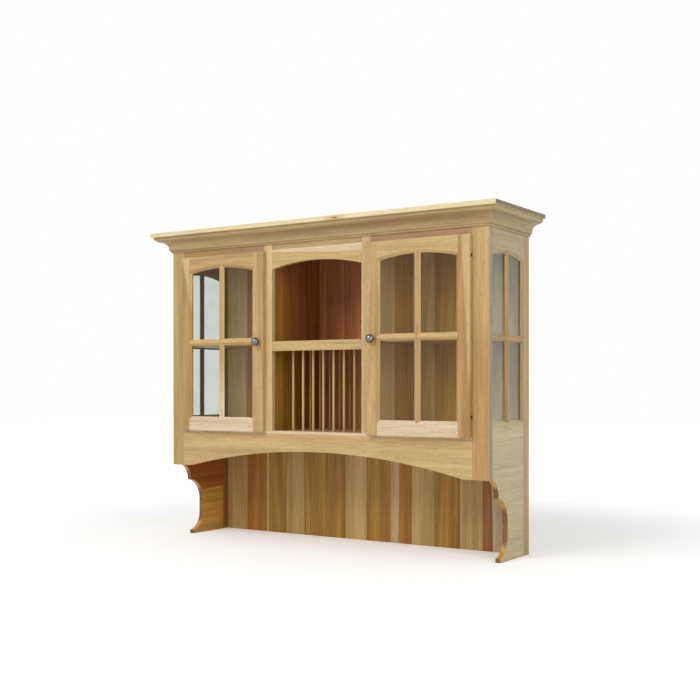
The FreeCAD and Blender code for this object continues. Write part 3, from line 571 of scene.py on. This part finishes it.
def paint_case_light(wood):
    """A second wood for the front face of a back board, from the bottom shelf upwards: painted
    light and shade inside the case, a paler wood for painted light and a redder one for painted
    warm shade. The change is hidden behind the shelf."""
    front_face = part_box("niche_back_boards")[0].y
    behind_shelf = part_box("bottom_shelf")[0].z + 0.001
    steep = 62.0              # so steep that it doesn't reach the back face
    return beyond((0, -steep, 1), behind_shelf - steep * front_face, wood)


def make_back():
    """Back boards from left to right, of mixed heartwood and sapwood, with painted light and shade
    on their front faces inside the case.
    """
    rough = dict(ease=WORN, shine=0.06, figure=BOLD)
    # inside the case butter is painted light and sienna is painted warm shade
    left = [("wheat", paint_case_light("butter")),
            ("russet", beyond((1, 0, 0.005), -0.485, "wheat", waver=0.003)),
            "gold",
            "rush",
            ("gold", paint_case_light("sienna"))]
    niche = [("gold", paint_case_light("sienna")),
             ("wheat", paint_case_light("sienna")),
             ("gold", paint_case_light("sienna")),
             "flax"]
    right = ["russet", "wheat", "gold", "wheat",
             ("copper", beyond((1, 0, 0.02), 0.59, "cream", softness=0.004, waver=0.006)),
             "cream"]
    wooden("left_back_boards", left, "Z", **rough)
    wooden("niche_back_boards", niche, "Z", **rough)
    wooden("right_back_boards", right, "Z", **rough)


def make_crown():
    """The mouldings, and the board on top, with a duller right end and a knot in its front."""
    front_left, back_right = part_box("top_board")
    dull_end = beyond(RIGHT, back_right.x - 0.0006, "sage", softness=0.0005)
    knot = {"Centre": (0.135, front_left.y, 1.2535), "Squeeze": (26, 90, 110)}
    wooden("crown_front", "tan", "X", ease=CRISP)
    both("crown", "khaki", "Y", ease=CRISP)
    wooden("top_board", "ivory", "X", ease=WORN, sap=dull_end, knot=knot)


# ------------------------------------------------------------------ the doors

BAR_FACE = 0.008              # the flat front of a glazing bar
PAST_UPRIGHT = 0.03           # this far from the middle only the level bar is left
ALONG_BAR = 0.3               # faces of a bar turn less than this towards its ends
DOOR_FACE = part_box("left_door_top_rail")[0].y
LEAF_DEPTH = 0.009            # from the back of a hinge leaf to the knuckle before it
TALLEST_LEAF = 0.05           # the strike plates are taller than this, and hinge leaves aren't


def make_doors():
    left_sap = beyond((1, 0, 0.245), -0.381, "flax", softness=0.01, waver=0.008)
    right_sap = beyond((1, 0, 0.06), 0.704, "flax", softness=0.01, waver=0.004)
    fading = beyond(DOWN, -0.65, "cream", softness=0.17, waver=0.02)
    wooden("left_door_hinge_stile", "amber", "Z", ease=CRISP, sap=left_sap, figure=LIVELY)
    wooden("right_door_hinge_stile", "amber", "Z", ease=CRISP, sap=right_sap, figure=LIVELY)
    both("door_latch_stile", "honey", "Z", ease=CRISP)
    both("door_top_rail", ("honey", "straw"), "X", ease=CRISP)
    both("door_bottom_rail", "cream", "X", ease=CRISP)
    wooden("left_door_muntins", "honey", "Z", ease=CRISP, sap=fading)
    wooden("right_door_muntins", "honey", "Z", ease=CRISP)
    both("door_glass_bead", "honey", "Z", ease=SQUARE)


def paint_knuckle_shade(leaf):
    """Gives the knuckle of a hinge, in front of the leaf, a darker finish: partly painted shade of
    the gap that the knuckle sits in.
    """
    leaf.data.materials.append(BRONZE_FOR_PAINTED_SHADE)
    behind = max(vert.co.y for vert in leaf.data.vertices)
    for face in leaf.data.polygons:
        face.material_index = int(face.center.y < behind - LEAF_DEPTH)


def make_door_hardware(side):
    """The knob, the strike plate and the hinge leaves that swing with a door."""
    node = f"{side}_door_hardware"
    for number, solid in enumerate(solids_of(node)):
        heights = [vert.co.z for vert in solid.verts]
        if min(vert.co.y for vert in solid.verts) < DOOR_FACE:
            name, finish = "knob", NICKEL_PAINTED_DARK
        elif max(heights) - min(heights) > TALLEST_LEAF:
            name, finish = "strike_plate", STEEL
        else:
            name, finish = f"hinge_leaf_{number}", BRASS
        ease_edges(solid, SQUARE)
        piece = place_piece(f"{side}_{name}", solid, finish, node)
        if finish is BRASS:
            paint_knuckle_shade(piece)


def make_case_hardware():
    """The hinge leaves with the pins, and the catches, which stay with the case."""
    for number, solid in enumerate(solids_of("hinge_frame_leaves")):
        ease_edges(solid, SQUARE)
        leaf = place_piece(f"hinge_pin_leaf_{number + 1}", solid, BRASS, "hinge_frame_leaves")
        paint_knuckle_shade(leaf)
    for number, solid in enumerate(solids_of("door_catches")):
        ease_edges(solid, EASED)
        place_piece(f"catch_{number + 1}", solid, STEEL, "door_catches")


def make_glass():
    """The panes are the CAD's own, with a finish."""
    for side in ("left", "right"):
        for pane, material in GLASS.items():
            mesh = frame["nodes"][f"{side}_{pane}"].data
            mesh.materials.clear()
            mesh.materials.append(material)


def crossbar(node, wood, grain):
    """Gives the level bar of a glazed frame a wood of its own, with the grain along it."""
    mesh = bpy.data.objects[f"worked_{node}"].data
    bm = bmesh.new()
    bm.from_mesh(mesh)
    axis = "XYZ".index(grain)
    along = Vector([float(letter == grain) for letter in "XYZ"])
    middle = centre_of(bm)
    upright = middle[axis]
    heights = [vert.co.z for vert in bm.verts if abs(vert.co[axis] - upright) > PAST_UPRIGHT]
    low, high = min(heights), max(heights)
    middle[2] = (low + high) / 2
    for normal, place in ((along, upright - BAR_FACE / 2), (along, upright + BAR_FACE / 2),
                          (Vector(UP), low), (Vector(UP), high)):
        bmesh.ops.bisect_plane(bm, geom=bm.verts[:] + bm.edges[:] + bm.faces[:], dist=1e-6,
                               plane_co=normal * place, plane_no=normal)
    for face in bm.faces:
        spot = face.calc_center_median()
        beside_upright = abs(spot[axis] - upright) > BAR_FACE / 2
        on_level_bar = low < spot.z < high and abs(face.normal[axis]) < ALONG_BAR
        face.material_index = int(beside_upright and on_level_bar)
    bm.to_mesh(mesh)
    bm.free()
    mesh.materials.append(hickory(f"hickory_{node}_crossbar", wood, grain, middle))


def make_crossbars():
    for side in ("left", "right"):
        crossbar(f"{side}_door_muntins", "straw", "X")
        crossbar(f"{side}_side_muntins", "ginger", "Y")


# ------------------------------------------------------------------ studio

FLOOR_REACH = 14.0
PAPER = ((244, 244, 243), (247, 247, 246))
PAPER_GLOW = (0.24, 0.64)     # what the floor adds where it is seen, near and far away
GLOW_REACH = (1.0, 3.2)       # the metres from the middle between which the glow grows
SKY_LIGHT = 0.48              # the strength of the sky where it isn't seen directly
SOFTBOXES = {                 # place, size and power
    "key": ((-0.9, -4.0, 3.9), 3.0, 124.0),
    "fill": ((4.4, -1.6, 2.2), 2.8, 64.0),
}
LAMP_AIM = (0, 0, 0.7)        # what the softboxes point at

CAMERA_PLACE = (2.38576, -3.54956, 0.62967)
CAMERA_TURN = math.radians(33.163)    # to the left of straight ahead, and level
FOCAL_LENGTH = 55.83          # in millimetres, on a film 36 mm wide
LENS_RISE = 0.0511            # a share of the film's width, so that uprights stay upright


def seen_directly(graph):
    """One for rays from the camera, or on their way through glass or off metal."""
    path = graph.add("ShaderNodeLightPath")
    either = graph.math("MAXIMUM", path.outputs["Is Camera Ray"], path.outputs["Is Glossy Ray"])
    return graph.math("MAXIMUM", either, path.outputs["Is Transmission Ray"])


def studio_paper():
    """White paper that glows where it is seen, more so farther from the cupboard."""
    material, graph, output = new_material("studio_paper")
    place = graph.add("ShaderNodeTexCoord").outputs["Object"]
    tone = graph.blend(graph.noise(place, scale=40.0), *(srgb(*colour) for colour in PAPER))
    paper = graph.add("ShaderNodeBsdfPrincipled", {"Base Color": tone, "Roughness": 0.9})
    amount = graph.ramp(graph.vectors("LENGTH", place), *GLOW_REACH, *PAPER_GLOW)
    shown = graph.math("MULTIPLY", seen_directly(graph), amount)
    glow = graph.add("ShaderNodeEmission", {"Color": (1, 1, 1, 1), "Strength": shown})
    together = graph.add("ShaderNodeAddShader", {0: paper.outputs[0], 1: glow.outputs[0]})
    graph.feed(output.inputs["Surface"], together.outputs[0])
    return material


def make_floor():
    bm = bmesh.new()
    bmesh.ops.create_grid(bm, x_segments=1, y_segments=1, size=FLOOR_REACH)
    mesh = bpy.data.meshes.new("studio_floor")
    bm.to_mesh(mesh)
    bm.free()
    mesh.materials.append(studio_paper())
    floor = bpy.data.objects.new("studio_floor", mesh)
    bpy.context.scene.collection.objects.link(floor)


def make_daylight():
    """An even sky, which looks white but lights the cupboard less."""
    world = bpy.data.worlds.new("studio_world")
    world.use_nodes = True
    world.node_tree.nodes.clear()
    graph = Graph(world.node_tree)
    strength = graph.add("ShaderNodeMapRange", {"Value": seen_directly(graph), "To Min": SKY_LIGHT,
                                                "To Max": 1.0}).outputs[0]
    light = graph.add("ShaderNodeBackground", {"Color": (1, 1, 1, 1), "Strength": strength})
    output = graph.add("ShaderNodeOutputWorld")
    graph.feed(output.inputs["Surface"], light.outputs[0])
    bpy.context.scene.world = world


def make_softboxes():
    for name, (place, size, power) in SOFTBOXES.items():
        lamp = bpy.data.lights.new(f"{name}_softbox", "AREA")
        lamp.shape = "DISK"
        lamp.size = size
        lamp.energy = power
        holder = bpy.data.objects.new(f"{name}_softbox", lamp)
        holder.location = place
        aim = Vector(LAMP_AIM) - Vector(place)
        holder.rotation_euler = aim.to_track_quat("-Z", "Y").to_euler()
        bpy.context.scene.collection.objects.link(holder)


def make_camera():
    camera = bpy.data.cameras.new("camera")
    camera.sensor_width = 36.0
    camera.lens = FOCAL_LENGTH
    camera.shift_y = LENS_RISE
    camera.clip_end = 60.0
    holder = bpy.data.objects.new("camera", camera)
    holder.location = CAMERA_PLACE
    holder.rotation_euler = (math.radians(90), 0, CAMERA_TURN)
    bpy.context.scene.collection.objects.link(holder)
    bpy.context.scene.camera = holder


# ------------------------------------------------------------------ the whole

make_face_frame()
make_sides()
make_inside()
make_back()
make_crown()
make_doors()
make_door_hardware("left")
make_door_hardware("right")
make_case_hardware()
make_glass()
make_crossbars()
warm_bracket_edge()
make_floor()
make_daylight()
make_softboxes()
make_camera()
bpy.context.scene.view_settings.view_transform = "Standard"
